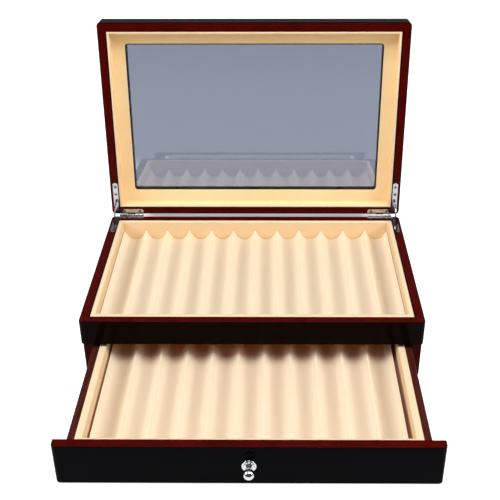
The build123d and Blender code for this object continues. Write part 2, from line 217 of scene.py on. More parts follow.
def finish_piece(piece, material, slot, body, *stands_for):
    """Give a finished piece its material, hang it on its body, and hide what it replaces. The slot it is
    given is not used.
    """
    piece.data.materials.clear()
    piece.data.materials.append(material)
    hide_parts(*stands_for)
    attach(piece, body)
    print(piece.name, "has", len(piece.data.polygons), "faces and rides on the", body)


# %% [markdown]
# ## Materials from small shared parts
# Wood figure, suede nap, the fine haze on metal and the places where a colour changes are patterns that
# several materials need. Each is built once as a node group with named inputs and outputs, and each
# material places it with its own values. A tiny set of helpers keeps the wiring readable.


# %% Wire nodes
def fill(tree, socket, value):
    """Wire another node's output into a socket, or give the socket a plain value."""
    if isinstance(value, bpy.types.NodeSocket):
        tree.links.new(value, socket)
    else:
        socket.default_value = value


def node(tree, kind, **values):
    """Add a node. Names of its settings are set on it, and names of its inputs fill its sockets."""
    made = tree.nodes.new(kind)
    for name, value in values.items():
        if hasattr(made, name):
            setattr(made, name, value)
        else:
            fill(tree, made.inputs[name.replace("_", " ")], value)
    return made


def maths(tree, operation, *values):
    """One step of arithmetic on numbers or sockets."""
    made = node(tree, "ShaderNodeMath", operation=operation)
    for socket, value in zip(made.inputs, values):
        fill(tree, socket, value)
    return made.outputs[0]


def ramp(tree, value, low, high, start=0.0, end=1.0):
    """Turn a range of values smoothly into another one."""
    made = node(
        tree, "ShaderNodeMapRange", interpolation_type="SMOOTHSTEP", Value=value,
        From_Min=low, From_Max=high, To_Min=start, To_Max=end,
    )
    return made.outputs["Result"]


def blend_colours(tree, factor, first, second):
    """Go from the first colour to the second as the factor goes from 0 to 1."""
    made = node(tree, "ShaderNodeMix", data_type="RGBA")
    for name, value in (("Factor_Float", factor), ("A_Color", first), ("B_Color", second)):
        fill(tree, next(part for part in made.inputs if part.identifier == name), value)
    return next(part for part in made.outputs if part.identifier == "Result_Color")


# %% [markdown]
# A group's sockets are declared first, and its inside is then wired between its two ends. A colour read
# off a screen isn't yet an amount of light, so it is converted where it is written down.


# %% Make groups and read colours
def new_group(name, inputs, outputs):
    """An empty node group with its sockets; returns the group and the ends to wire to."""
    group = bpy.data.node_groups.new(name, "ShaderNodeTree")
    for label, kind, value in inputs:
        socket = group.interface.new_socket(label, in_out="INPUT", socket_type="NodeSocket" + kind)
        socket.default_value = value
    for label, kind in outputs:
        group.interface.new_socket(label, in_out="OUTPUT", socket_type="NodeSocket" + kind)
    return group, group.nodes.new("NodeGroupInput").outputs, group.nodes.new("NodeGroupOutput").inputs


def place_group(tree, group, **values):
    """Put a shared group into a material and fill its inputs."""
    return node(tree, "ShaderNodeGroup", node_tree=group, **values).outputs


def srgb(red, green, blue):
    """A colour as read off a screen, turned into the light values that materials use."""
    shares = [channel / 255 for channel in (red, green, blue)]
    light = [share / 12.92 if share <= 0.04045 else ((share + 0.055) / 1.055) ** 2.4 for share in shares]
    return (*light, 1)


print("middle grey on a screen is", round(srgb(128, 128, 128)[0], 3), "of full light")

# %% [markdown]
# ### Wood under lacquer
# The boards are mahogany, stained dark and sprayed with many coats. Up close the wood shows long soft
# streaks, drifting patches and fine pores, all drawn out along the board. Noise stretched along one axis
# gives each of them, and a mapping in each material lays that axis along its board.

# %% The wood figure group
noise_span = (0.3, 0.7)  # nearly all of a noise pattern lies between these
pore_span = (0.62, 0.75)  # only its highest specks are pores
wood_figure, figure_in, figure_out = new_group(
    "wood_figure",
    [("Vector", "Vector", (0, 0, 0)), ("Stretch", "Float", 12)],
    [("Streaks", "Float"), ("Patches", "Float"), ("Pores", "Float")],
)
along = node(wood_figure, "ShaderNodeSeparateXYZ", Vector=figure_in["Vector"])
shortened = maths(wood_figure, "DIVIDE", along.outputs["X"], figure_in["Stretch"])
grain_space = node(
    wood_figure, "ShaderNodeCombineXYZ", X=shortened, Y=along.outputs["Y"], Z=along.outputs["Z"]
).outputs[0]
streaks = node(wood_figure, "ShaderNodeTexNoise", Vector=grain_space, Scale=420, Detail=5, Roughness=0.6)
patches = node(wood_figure, "ShaderNodeTexNoise", Vector=figure_in["Vector"], Scale=55, Detail=3)
pores = node(wood_figure, "ShaderNodeTexNoise", Vector=grain_space, Scale=1900, Detail=2)
wood_figure.links.new(ramp(wood_figure, streaks.outputs[0], *noise_span), figure_out["Streaks"])
wood_figure.links.new(ramp(wood_figure, patches.outputs[0], *noise_span), figure_out["Patches"])
wood_figure.links.new(ramp(wood_figure, pores.outputs[0], *pore_span), figure_out["Pores"])
print("group:", wood_figure.name)

# %% [markdown]
# ### Where the finish changes
# The outside is near black and the rims show the red wood. Part of that is a darker stain on the outside,
# and part is painted shade on the outer faces. Which way a face points decides that, so one group compares
# a face's own direction with a wanted one. Another group marks a thin band round a rectangle, for the dark
# lines of painted shade along a rim.

# %% The facing group
facing, facing_in, facing_out = new_group(
    "facing",
    [("Direction", "Vector", (0, 0, 1)), ("Start", "Float", 0.5), ("End", "Float", 0.9)],
    [("Mask", "Float")],
)
own_normal = facing.nodes.new("ShaderNodeTexCoord").outputs["Normal"]
alike = node(facing, "ShaderNodeVectorMath", operation="DOT_PRODUCT")
facing.links.new(own_normal, alike.inputs[0])
facing.links.new(facing_in["Direction"], alike.inputs[1])
reach = node(
    facing, "ShaderNodeMapRange", interpolation_type="SMOOTHSTEP", Value=alike.outputs["Value"],
    From_Min=facing_in["Start"], From_Max=facing_in["End"],
)
facing.links.new(reach.outputs["Result"], facing_out["Mask"])
print("group:", facing.name)

# %% [markdown]
# The band is measured from a rectangle that lies flat about x = 0. The distance past its sides is below
# zero inside it, and the mask is full between two such distances.

# %% The band group
band, band_in, band_out = new_group(
    "band",
    [
        ("Vector", "Vector", (0, 0, 0)),
        ("Centre Y", "Float", 0),
        ("Half X", "Float", 0.16),
        ("Half Y", "Float", 0.1),
        ("From", "Float", 0),
        ("To", "Float", 0.001),
        ("Softness", "Float", 0.0003),
    ],
    [("Mask", "Float")],
)
spot = node(band, "ShaderNodeSeparateXYZ", Vector=band_in["Vector"])
past_x = maths(band, "SUBTRACT", maths(band, "ABSOLUTE", spot.outputs["X"]), band_in["Half X"])
from_centre = maths(band, "SUBTRACT", spot.outputs["Y"], band_in["Centre Y"])
past_y = maths(band, "SUBTRACT", maths(band, "ABSOLUTE", from_centre), band_in["Half Y"])
past = maths(band, "MAXIMUM", past_x, past_y)
inside = []
for gap in (maths(band, "SUBTRACT", past, band_in["From"]), maths(band, "SUBTRACT", band_in["To"], past)):
    inside.append(ramp(band, maths(band, "DIVIDE", gap, band_in["Softness"]), -1, 1))
band.links.new(maths(band, "MULTIPLY", *inside), band_out["Mask"])
print("group:", band.name)

# %% [markdown]
# ### Suede
# Suede is leather with a raised nap. It has no gloss, but its fibres catch light at a slant, which the
# sheen of the shader gives. Brushed one way or the other the nap looks lighter or darker, so the group
# puts out slow cloudy patches, fine fibre specks, and a height for a very shallow bump.

# %% The nap group
fibre_span = (0.25, 0.75)
patch_rise = 2.0  # how many times as high as a fibre a brushed patch stands
nap, nap_in, nap_out = new_group(
    "nap",
    [("Vector", "Vector", (0, 0, 0)), ("Fibre Scale", "Float", 2600)],
    [("Patches", "Float"), ("Fibres", "Float"), ("Height", "Float")],
)
brushed = node(nap, "ShaderNodeTexNoise", Vector=nap_in["Vector"], Scale=38, Detail=4, Roughness=0.65)
fibres = node(nap, "ShaderNodeTexNoise", Vector=nap_in["Vector"], Scale=nap_in["Fibre Scale"], Detail=3)
nap.links.new(ramp(nap, brushed.outputs[0], *noise_span), nap_out["Patches"])
nap.links.new(ramp(nap, fibres.outputs[0], *fibre_span), nap_out["Fibres"])
soft_height = maths(nap, "MULTIPLY_ADD", brushed.outputs[0], patch_rise, fibres.outputs[0])
nap.links.new(soft_height, nap_out["Height"])
print("group:", nap.name)

# %% [markdown]
# ### Haze
# Polished metal, glass and lacquer are never perfectly even. A faint cloudiness in their roughness and a
# barely raised ripple keep their highlights from looking drawn with a ruler.

# %% The haze group
haze, haze_in, haze_out = new_group(
    "haze",
    [
        ("Vector", "Vector", (0, 0, 0)),
        ("Scale", "Float", 60),
        ("Clean", "Float", 0.05),
        ("Dull", "Float", 0.15),
    ],
    [("Roughness", "Float"), ("Height", "Float")],
)
clouds = node(haze, "ShaderNodeTexNoise", Vector=haze_in["Vector"], Scale=haze_in["Scale"], Detail=3)
cloudy = node(
    haze, "ShaderNodeMapRange", Value=clouds.outputs[0], From_Min=noise_span[0], From_Max=noise_span[1],
    To_Min=haze_in["Clean"], To_Max=haze_in["Dull"],
)
haze.links.new(cloudy.outputs["Result"], haze_out["Roughness"])
haze.links.new(clouds.outputs[0], haze_out["Height"])
print("group:", haze.name)

# %% [markdown]
# ### One shader to a material
# Each material is one all-round shader with patterns wired into it. The patterns read a piece's own
# coordinates, so they stay put when it moves, and a height pattern raises the surface by a real depth.


# %% Start a material
def empty_tree(owner):
    """Switch a material or a world over to nodes, with none in it yet."""
    owner.use_nodes = True
    owner.node_tree.nodes.clear()
    return owner.node_tree


def start_material(name, **values):
    """A new material whose one shader has the given plain values; returns it, its tree and the shader."""
    material = bpy.data.materials.new(name)
    tree = empty_tree(material)
    shader = node(tree, "ShaderNodeBsdfPrincipled", **values)
    node(tree, "ShaderNodeOutputMaterial", Surface=shader.outputs[0])
    return material, tree, shader


def object_space(tree, location=(0, 0, 0), rotation=(0, 0, 0)):
    """A piece's own coordinates, turned first and then moved."""
    own = tree.nodes.new("ShaderNodeTexCoord").outputs["Object"]
    return node(tree, "ShaderNodeMapping", Vector=own, Location=location, Rotation=rotation).outputs[0]


def raise_surface(tree, shader, height, depth):
    """Let a height pattern raise the surface by a depth in metres."""
    bump = node(tree, "ShaderNodeBump", Height=height, Strength=1, Distance=depth)
    tree.links.new(bump.outputs[0], shader.inputs["Normal"])


# %% [markdown]
# ## Lacquered boards
# The boards keep the frame's own shapes, because their rounded edges are real. Their finish reads the place
# of each point as it is with the lid shut and the drawer home, so one recipe serves the case, the lid and
# the drawer front: near black outside, partly stain and partly painted shade, red on the faces that meet,
# and a dark line of painted shade along both edges of a rim.

# %% The lacquer recipe
# Near black outside: partly a darker stain and partly painted shade on the outer faces. The drawer front's
# is darker and bluer.
outer_stain_and_shade, front_stain_and_shade = srgb(20, 10, 8), srgb(2, 2, 5)
rim_red, rim_red_light = srgb(62, 5, 3), srgb(82, 9, 5)
# The pores' own dark, also used for the dark lines of painted shade along the rims.
pore_and_rim_shade = srgb(14, 5, 4)
patch_share, streak_share = 0.6, 0.4  # of the change from one red to the other
pore_darkness = 0.5
lacquer_ripple = 0.02 * mm
board_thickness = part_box("case_right_side")[1].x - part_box("case_right_side")[0].x
# Widths of the dark lines of painted shade along the rim's inner edge, where the wood meets the suede, and
# along its outer edge.
inner_line, outer_line = 1.1 * mm, 0.9 * mm
line_reach = 5 * mm  # how far the lines go on past the rim's edges
rim_lines = ((-line_reach, inner_line), (board_thickness - outer_line, board_thickness + line_reach))
grain_turns = {"x": (0, 0, 0), "y": (0, 0, math.pi / 2)}


def lacquer(name, grain, red_ways, rim=None, location=(0, 0, 0), rotation=(0, 0, 0), stain_and_shade=outer_stain_and_shade):
    """Stained and lacquered mahogany. Its faces are red where they point one of the red ways."""
    material, tree, shader = start_material(name, Specular_IOR_Level=0.03)
    at_home = object_space(tree, location, rotation)
    along_board = node(tree, "ShaderNodeMapping", Vector=at_home, Rotation=grain_turns[grain])
    figure = place_group(tree, wood_figure, Vector=along_board.outputs[0])
    red = 0.0
    for way in red_ways:
        seen = place_group(tree, facing, Direction=way, Start=0.55, End=0.97)
        red = maths(tree, "MAXIMUM", red, seen["Mask"])
    streaked = maths(tree, "MULTIPLY", figure["Streaks"], streak_share)
    warm = maths(tree, "MULTIPLY_ADD", figure["Patches"], patch_share, streaked)
    red_wood = blend_colours(tree, warm, rim_red, rim_red_light)
    dark_pores = maths(tree, "MULTIPLY", figure["Pores"], pore_darkness)
    red_wood = blend_colours(tree, dark_pores, red_wood, pore_and_rim_shade)
    # Faces that point none of the red ways get the near-black outside colour, which is partly stain and
    # partly painted shade.
    colour = blend_colours(tree, red, stain_and_shade, red_wood)
    # Painted shade: a dark line along both edges of the rim.
    for line_from, line_to in rim_lines if rim else ():
        line = place_group(tree, band, Vector=at_home, From=line_from, To=line_to, **rim)
        colour = blend_colours(tree, line["Mask"], colour, pore_and_rim_shade)
    tree.links.new(colour, shader.inputs["Base Color"])
    gloss = place_group(tree, haze, Vector=at_home, Scale=25, Clean=0.09, Dull=0.16)
    tree.links.new(gloss["Roughness"], shader.inputs["Roughness"])
    raise_surface(tree, shader, gloss["Height"], lacquer_ripple)
    return material


print("boards are", round(board_thickness / mm, 1), "mm thick")

# %% [markdown]
# The recipe is now given each board's own values: which way its grain runs, which ways its red faces point,
# and how to find its place with the lid shut or the drawer home.

# %% Lacquer the boards
case_rim = {"Half_X": -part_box("tray_liner_left")[0].x, "Half_Y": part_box("tray_liner_back")[1].y}
lid_low, lid_high = shut_box("lid_liner_panel")
lid_rim = {
    "Half_X": lid_high.x,
    "Half_Y": (lid_high.y - lid_low.y) / 2,
    "Centre_Y": (lid_high.y + lid_low.y) / 2,
}
lid_rotation = Matrix.Rotation(lid_turn, 3, "X")
lid_place = {"location": hinge_place - lid_rotation @ hinge_place, "rotation": (lid_turn, 0, 0)}
meets_case = lid_rotation.inverted() @ Vector((0, 0, -1))
up, front, back = Vector((0, 0, 1)), Vector((0, -1, 0)), Vector((0, 1, 0))

board_finishes = {
    "case_left_side": lacquer("lacquered_side", "y", [up, front], case_rim),
    "case_back": lacquer("lacquered_case_back", "x", [up], case_rim),
    "upper_front_rail": lacquer("lacquered_case_front", "x", [up, back], case_rim),
    "lid_left_rail": lacquer("lacquered_lid_side", "y", [meets_case], lid_rim, **lid_place),
    "lid_front_rail": lacquer("lacquered_lid_edge", "x", [meets_case], lid_rim, **lid_place),
    "drawer_front": lacquer(
        "lacquered_drawer_front", "x", [up, back], location=(0, drawer_out, 0), stain_and_shade=front_stain_and_shade
    ),
}
board_finishes["case_right_side"] = board_finishes["case_left_side"]
board_finishes["lid_right_rail"] = board_finishes["lid_left_rail"]
board_finishes["lid_back_rail"] = board_finishes["lid_front_rail"]
board_finishes["lid_top_frame"] = board_finishes["lid_front_rail"]


def dress(name, material):
    """Put a material on a piece of the frame."""
    for slot in nodes[name].material_slots:
        slot.material = material


for board, finish in board_finishes.items():
    dress(board, finish)
print("lacquered boards:", len(board_finishes))

# %% [markdown]
# ## Plain inner wood
# The drawer box, the panels let into the boards and the strips that guide the drawer are stained but not
# polished. They are dull, dark red-brown, with open pores. The thin floors of the drawer and the tray
# are a lighter and more orange wood, which warms the shadow under the rail.

# %% The inner wood
inner_brown, inner_brown_light = srgb(52, 16, 10), srgb(84, 30, 20)
open_pore = srgb(28, 8, 5)
open_pore_darkness = 0.6
open_grain_depth = 0.04 * mm
inner_roughness = (0.42, 0.58)


def inner_wood(name, grain, dark=inner_brown, light=inner_brown_light):
    """Stained wood without gloss."""
    material, tree, shader = start_material(name, Specular_IOR_Level=0.15)
    along_board = object_space(tree, rotation=grain_turns[grain])
    figure = place_group(tree, wood_figure, Vector=along_board)
    colour = blend_colours(tree, figure["Streaks"], dark, light)
    dark_pores = maths(tree, "MULTIPLY", figure["Pores"], open_pore_darkness)
    colour = blend_colours(tree, dark_pores, colour, open_pore)
    tree.links.new(colour, shader.inputs["Base Color"])
    tree.links.new(ramp(tree, figure["Patches"], 0, 1, *inner_roughness), shader.inputs["Roughness"])
    raise_surface(tree, shader, figure["Streaks"], open_grain_depth)
    return material


wood_across, wood_along = inner_wood("inner_wood_across", "x"), inner_wood("inner_wood_along", "y")
dress("drawer_bottom", inner_wood("drawer_floor_wood", "x", srgb(150, 68, 32), srgb(172, 88, 44)))
dress("tray_floor", inner_wood("tray_floor_wood", "x", srgb(150, 50, 10), srgb(178, 72, 18)))
for board in ("drawer_back", "base_panel"):
    dress(board, wood_across)
for board in ("drawer_left_side", "drawer_right_side", "drawer_kickers", "drawer_stop_pins"):
    dress(board, wood_along)
print("inner woods:", [material.name for material in (wood_across, wood_along)])

# %% [markdown]
# ## Suede on everything inside
# One suede covers the beds, the boards round them and the sheet round the window. It is a warm cream,
# yellower in the lid. On the wrapped boards it is a little deeper, which is painted shade on their upright
# walls, and their rims have a paler cream of their own. The floors of the grooves are painted a little
# cooler and greyer as painted shade, which the material finds by height. The side boards are painted brown
# below the ridges of the beds as painted shade, which leaves a thin brown line beside them.

# %% The cream suede
bed_cream, bed_cream_dark = srgb(254, 238, 212), srgb(249, 230, 201)
# Painted shade on the groove floors: cooler and greyer than the crests.
bed_floor_shade = {"tray": srgb(230, 212, 187), "drawer": srgb(234, 212, 185)}
# The wrapped boards' cream is a little deeper than the beds': painted shade on their upright walls.
shaded_board_cream, shaded_board_cream_dark = srgb(242, 213, 170), srgb(233, 200, 152)
lid_cream, lid_cream_dark = srgb(254, 226, 177), srgb(248, 213, 158)
rim_cream = srgb(245, 218, 180)
# Painted shade: the brown below the beds' crests darkens the gap beside each bed.
gap_shade_brown = srgb(196, 84, 26)
sheen_tint = (1, 0.84, 0.62, 1)
brushed_share, fibre_share = 0.35, 0.35  # of the change from the light shade to the dark one
shade_below, shade_above = 1 * mm, 7 * mm  # where the painted shade on the groove floors is full and where it ends
gap_shade_fade = 1.5 * mm
nap_depth = 0.05 * mm


def height_in(tree, space):
    """How high each point lies in a space."""
    return node(tree, "ShaderNodeSeparateXYZ", Vector=space).outputs["Z"]


def suede(name, light, dark, floor_shade=None, floor_shade_height=0, rim_way=None, gap_shade_height=0):
    """Cream suede between two shades. Just above the given height of the groove floors, in metres, it turns
    cooler and greyer as painted shade. Where it faces the rim's way it is paler, and below the given height
    beside the bed it is painted brown as painted shade."""
    material, tree, shader = start_material(
        name, Roughness=0.95, Specular_IOR_Level=0.1,
        Sheen_Weight=0.5, Sheen_Roughness=0.5, Sheen_Tint=sheen_tint,
    )
    own = object_space(tree)
    pile = place_group(tree, nap, Vector=own)
    fibre_shade = maths(tree, "MULTIPLY", pile["Fibres"], fibre_share)
    shade = maths(tree, "MULTIPLY_ADD", pile["Patches"], brushed_share, fibre_shade)
    colour = blend_colours(tree, shade, light, dark)
    # Painted shade: the groove floors turn cooler and greyer, found by height.
    if floor_shade:
        shade_ends = (floor_shade_height - shade_below, floor_shade_height + shade_above)
        floor_shaded = ramp(tree, height_in(tree, own), *shade_ends, 1, 0)
        colour = blend_colours(tree, floor_shaded, colour, floor_shade)
    if rim_way:
        on_rim = place_group(tree, facing, Direction=rim_way, Start=0.5, End=0.9)
        colour = blend_colours(tree, on_rim["Mask"], colour, rim_cream)
    # Painted shade: below the bed's crest the side board is painted brown.
    if gap_shade_height:
        gap_shade = ramp(tree, height_in(tree, own), gap_shade_height - gap_shade_fade, gap_shade_height, 1, 0)
        colour = blend_colours(tree, gap_shade, colour, gap_shade_brown)
    tree.links.new(colour, shader.inputs["Base Color"])
    raise_surface(tree, shader, pile["Height"], nap_depth)
    return material


cream_suede = suede("cream_suede", shaded_board_cream, shaded_board_cream_dark, rim_way=up)
side_suede = {}
for place in ("tray", "drawer"):
    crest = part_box(f"{place}_pen_bed")[1].z
    side_suede[place] = suede(
        f"{place}_side_suede", shaded_board_cream, shaded_board_cream_dark, rim_way=up, gap_shade_height=crest
    )
lid_suede = suede("lid_suede", lid_cream, lid_cream_dark)
lid_board_suede = suede("lid_board_suede", lid_cream, lid_cream_dark, rim_way=meets_case)
print("suedes:", cream_suede.name, lid_suede.name, lid_board_suede.name)

# %% [markdown]
# ## The grooved beds
# Each bed is suede pressed over a moulded form: flat-bottomed channels side by side, with a slim ridge
# between each two. One channel is modelled and then repeated. It starts as a block that is cut twice, and
# its top is lowered at the cuts, which leaves a flank on each side. An array repeats it. Then the ridges
# get a small bevel and the feet of the flanks a large one, as suede stretched over a form has.

# %% Model a bed
flank_reach = 6.6 * mm  # from a ridge to the foot of its flank
groove_depth = 11.5 * mm
ridge_rounding, ridge_segments = 1.3 * mm, 4
foot_rounding, foot_segments = 5.8 * mm, 10
square_on = 0.99  # a face that points along an axis scores at least this


def cut_across(piece, place, normal):
    """Cut all the way through a piece in edit mode, without removing anything."""
    grab(piece, "FACE", lambda face: True)
    bpy.ops.mesh.bisect(plane_co=place, plane_no=normal)


def grooved_bed(name, stands_for, groove_count):
    """A bed with its grooves running from front to back."""
    low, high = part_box(stands_for)
    pitch = (high.x - low.x) / groove_count
    channel = block(name, low, (low.x + pitch, high.y, high.z))
    feet = (low.x + flank_reach, low.x + pitch - flank_reach)
    for x in feet:
        cut_across(channel, (x, 0, 0), (1, 0, 0))
    grab(
        channel, "VERT",
        lambda point: near(point.co.z, high.z) and any(near(point.co.x, foot) for foot in feet),
    )
    bpy.ops.transform.translate(value=(0, 0, -groove_depth))
    grab(channel, "FACE", lambda face: abs(face.normal.x) > square_on)
    bpy.ops.mesh.delete(type="FACE")
    modify(
        channel, "ARRAY", count=groove_count, use_relative_offset=False, use_constant_offset=True,
        constant_offset_displace=(pitch, 0, 0), use_merge_vertices=True, merge_threshold=same_place,
    )
    for x in (low.x, high.x):
        grab(channel, "EDGE", lambda edge: runs_at(edge, x=x))
        bpy.ops.mesh.edge_face_add()
    ridges = (high.z, ridge_rounding, ridge_segments)
    feet_of_flanks = (high.z - groove_depth, foot_rounding, foot_segments)
    for height, rounding, segments in (ridges, feet_of_flanks):
        grab(channel, "EDGE", lambda edge: runs_at(edge, z=height) and near(run_along(edge, 0), 0))
        bpy.ops.mesh.bevel(offset=rounding, segments=segments, affect="EDGES")
    return channel


tray_bed = grooved_bed("tray_suede_bed", "tray_pen_bed", groove_count=12)
drawer_bed = grooved_bed("drawer_suede_bed", "drawer_pen_bed", groove_count=11)
print("bed faces:", len(tray_bed.data.polygons), len(drawer_bed.data.polygons))

# %% [markdown]
# A form wrapped in leather is never dead straight. More cuts along the grooves give the mesh something to
# bend, and a shallow, slow displacement makes the ridges wander by a fraction of a millimetre. The form
# under the suede is firm.

# %% Soften and finish the beds
bed_spacing = 8 * mm
unevenness = 0.3 * mm
cloud_size = 90 * mm
flat_foot = 1 * mm  # the underside stays flat up to this height


def soften_bed(bed, stands_for):
    """Cut a bed along its grooves and let its top wander a little."""
    low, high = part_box(stands_for)
    count = round((high.y - low.y) / bed_spacing)
    for cut in range(1, count):
        cut_across(bed, (0, low.y + (high.y - low.y) * cut / count, 0), (0, 1, 0))
    pick_up(bed)
    top = bed.vertex_groups.new(name="top")
    lifted = [vertex.index for vertex in bed.data.vertices if vertex.co.z > low.z + flat_foot]
    top.add(lifted, 1, "REPLACE")
    slow_clouds = bpy.data.textures.new("slow_clouds", "CLOUDS")
    slow_clouds.noise_scale = cloud_size
    slow_clouds.noise_depth = 0
    modify(
        bed, "DISPLACE", texture=slow_clouds, vertex_group=top.name, strength=unevenness, direction="Z",
        mid_level=1, texture_coords="GLOBAL",
    )
    bed.vertex_groups.clear()
    face_out(bed, smooth_angle=60)


for place, body, bed in (("tray", "case", tray_bed), ("drawer", "drawer", drawer_bed)):
    stands_for = f"{place}_pen_bed"
    soften_bed(bed, stands_for)
    floor_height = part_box(stands_for)[1].z - groove_depth
    bed_suede = suede(f"{place}_bed_suede", bed_cream, bed_cream_dark, bed_floor_shade[place], floor_height)
    finish_piece(bed, bed_suede, "cream_suede", body, stands_for)

# %% [markdown]
# ## Suede-wrapped boards
# Thin boards wrapped in suede stand round each bed and inside the lid. They meet in mitred corners, and
# the suede rounds their rims. Each board starts as a block. Its inner corners are drawn in by its
# neighbours' thickness, which makes the mitres, and its long rim edges are bevelled.

# %% Model the wrapped boards
rim_rounding = 0.8 * mm
mitre_rounding = 0.25 * mm
long_run, short_run = 20 * mm, 10 * mm  # edges along a board run further, edges at a mitre less far
sharp_fold = 0.7  # radians between two faces


def wrapped_board(name, boxes, side, rim_up):
    """One board of a frame of four. Boxes gives the corners of all four by side."""
    low, high = boxes[side]
    board = block(name, low, high)
    along, across = (1, 0) if side in ("left", "right") else (0, 1)
    inner = high[across] if side in ("left", "front") else low[across]
    before, after = ("front", "back") if along == 1 else ("left", "right")
    for neighbour, end, way in ((before, low, 1), (after, high, -1)):
        thickness = (boxes[neighbour][1] - boxes[neighbour][0])[along]
        place = end[along]
        grab(board, "VERT", lambda point: near(point.co[across], inner) and near(point.co[along], place))
        move = [0, 0, 0]
        move[along] = way * thickness
        bpy.ops.transform.translate(value=move)

    def at_mitre(edge):
        folded = edge.is_manifold and edge.calc_face_angle() > sharp_fold
        return folded and run_along(edge, along) < short_run

    rim = high.z if rim_up else low.z
    grab(board, "EDGE", lambda edge: runs_at(edge, z=rim) and run_along(edge, along) > long_run)
    bpy.ops.mesh.bevel(offset=rim_rounding, segments=3, affect="EDGES")
    grab(board, "EDGE", at_mitre)
    bpy.ops.mesh.bevel(offset=mitre_rounding, segments=2, affect="EDGES")
    face_out(board)
    return board


sides = ("front", "right", "back", "left")
for place, body, measure, rim_up in (
    ("tray", "case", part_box, True), ("drawer", "drawer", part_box, True), ("lid", "lid", shut_box, False)
):
    boxes = {side: measure(f"{place}_liner_{side}") for side in sides}
    for side in sides:
        board = wrapped_board(f"{place}_suede_{side}", boxes, side, rim_up)
        if place == "lid":
            board.data.transform(swing_open)
            covering = lid_board_suede
        else:
            covering = side_suede[place] if side in ("left", "right") else cream_suede
        finish_piece(board, covering, "cream_suede", body, f"{place}_liner_{side}")

# %% [markdown]
# ## The sheet round the window
# Inside the lid a suede-covered sheet frames the glass. It is a flat slab with a window cut out of it. The
# cutter is a block whose four upright edges are bevelled round first, and after the cut the edge of the
# hole is bevelled too, as suede turned over an edge is.

# %% Model the window sheet
window_low, window_high = shut_box("glazing_bead")
sheet_low, sheet_high = shut_box("lid_liner_panel")
window_corner = 3.5 * mm
turned_edge = 0.35 * mm
past_sheet = 5 * mm  # how far the cutter stands out above and below
hole_margin = 1 * mm  # the hole's edges lie within this of the window

window_sheet = block("lid_suede_sheet", sheet_low, sheet_high)
cutter_low = (window_low.x, window_low.y, sheet_low.z - past_sheet)
cutter_high = (window_high.x, window_high.y, sheet_high.z + past_sheet)
cutter = block("window_cutter", cutter_low, cutter_high)
grab(cutter, "EDGE", is_upright)
bpy.ops.mesh.bevel(offset=window_corner, segments=6, affect="EDGES")
put_down()
modify(window_sheet, "BOOLEAN", operation="DIFFERENCE", object=cutter)
bpy.data.objects.remove(cutter)


def at_window(edge):
    """Whether an edge runs round the hole, on the face towards the tray."""
    reach_x, reach_y = window_high.x + hole_margin, window_high.y + hole_margin
    close = all(abs(end.co.x) < reach_x and abs(end.co.y) < reach_y for end in edge.verts)
    return close and runs_at(edge, z=sheet_low.z)


grab(window_sheet, "EDGE", at_window)
bpy.ops.mesh.bevel(offset=turned_edge, segments=2, affect="EDGES")
face_out(window_sheet)
window_sheet.data.transform(swing_open)
finish_piece(window_sheet, lid_suede, "cream_suede", "lid", "lid_liner_panel")

# %% [markdown]
# ## Felt underneath
# A sheet of black felt covers the underside, so that the chest doesn't scratch a table. It is cloth, made
# at its cut size.

# %% The felt
felt_corner = 2 * mm
felt_black, felt_grey = srgb(14, 14, 15), srgb(38, 37, 39)
felt_nap_depth = 0.12 * mm
felt_low, felt_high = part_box("base_felt")
felt_sheet = block("felt_sheet", felt_low, felt_high)
grab(felt_sheet, "EDGE", is_upright)
bpy.ops.mesh.bevel(offset=felt_corner, segments=4, affect="EDGES")
face_out(felt_sheet)
felt, tree, shader = start_material(
    "black_felt", Roughness=1, Specular_IOR_Level=0.05, Sheen_Weight=0.3, Sheen_Roughness=0.7
)
pile = place_group(tree, nap, Vector=object_space(tree), Fibre_Scale=1400)
felt_colour = blend_colours(tree, pile["Fibres"], felt_black, felt_grey)
tree.links.new(felt_colour, shader.inputs["Base Color"])
raise_surface(tree, shader, pile["Height"], felt_nap_depth)
finish_piece(felt_sheet, felt, "black_felt", "case", "base_felt")

# %% [markdown]
# ## The glass and its bead
# The pane is smoky: it lets through about a fifth of the light, a little bluer than it came. It is also
# coated, so it mirrors more than plain glass does, which a raised index of refraction stands for. A dark
# bead holds it from inside.

# %% The glass and the bead
smoky = (0.195, 0.22, 0.277, 1)
glass, tree, shader = start_material("window_glass", Base_Color=smoky, Transmission_Weight=1.0, IOR=2.3)
gloss = place_group(tree, haze, Vector=object_space(tree), Scale=9, Clean=0.0, Dull=0.02)
tree.links.new(gloss["Roughness"], shader.inputs["Roughness"])
dress("glass_pane", glass)

bead_dark, bead_light = srgb(22, 14, 16), srgb(46, 32, 38)
bead, tree, shader = start_material("dark_bead", Specular_IOR_Level=0.5)
gloss = place_group(tree, haze, Vector=object_space(tree), Scale=40, Clean=0.25, Dull=0.4)
tree.links.new(gloss["Roughness"], shader.inputs["Roughness"])
bead_colour = blend_colours(tree, ramp(tree, gloss["Height"], *noise_span), bead_dark, bead_light)
tree.links.new(bead_colour, shader.inputs["Base Color"])
dress("glazing_bead", bead)
print("materials:", glass.name, bead.name)

# %% [markdown]
# ## Bright metal
# The hinges, their screws and the knob are plated. Metal has almost no colour of its own: what it shows is
# the room. Hinge plates are brushed a little, the knob is polished.

# %% The metals
metal_span = (0.35, 0.65)
clouded_share = 0.93  # of the clean metal's brightness


def plated(name, colour, clean, dull):
    """Plated metal between a clean and a dull roughness."""
    material, tree, shader = start_material(name, Metallic=1.0)
    gloss = place_group(tree, haze, Vector=object_space(tree), Scale=180, Clean=clean, Dull=dull)
    tree.links.new(gloss["Roughness"], shader.inputs["Roughness"])
    clouded = [part * clouded_share for part in colour[:3]] + [1]
    tint = blend_colours(tree, ramp(tree, gloss["Height"], *metal_span), colour, clouded)
    tree.links.new(tint, shader.inputs["Base Color"])
    return material


